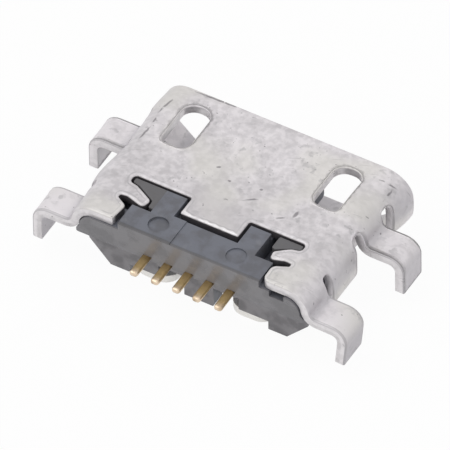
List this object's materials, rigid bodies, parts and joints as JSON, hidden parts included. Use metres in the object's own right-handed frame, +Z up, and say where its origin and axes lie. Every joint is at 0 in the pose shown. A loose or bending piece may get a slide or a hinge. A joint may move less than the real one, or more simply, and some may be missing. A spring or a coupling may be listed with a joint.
{
  "type": "micro usb socket",
  "caption": "Small board socket: folded tinned shell with bent solder legs, latch windows and retention fingers, dark insulator and gilt contacts.",
  "frame": {"origin": "middle of the part's footprint, on the shell's underside", "axes": "+Z up, the wide side of the mouth uppermost; -Y out of the mouth, where the plug comes from; the solder tails point to +Y"},
  "size_m": [0.0098, 0.006, 0.0024],
  "materials": {
    "tinned_sheet": "satin tin, scuffed",
    "dark_moulding": "matte, slate grey",
    "gilt_contacts": "thin gold plating"
  },
  "bodies": {
    "root": {"shell": "tinned_sheet", "insulator": "dark_moulding", "contact_power": "gilt_contacts", "contact_data_minus": "gilt_contacts", "contact_data_plus": "gilt_contacts", "contact_sense": "gilt_contacts", "contact_ground": "gilt_contacts"}
  },
  "joints": []
}
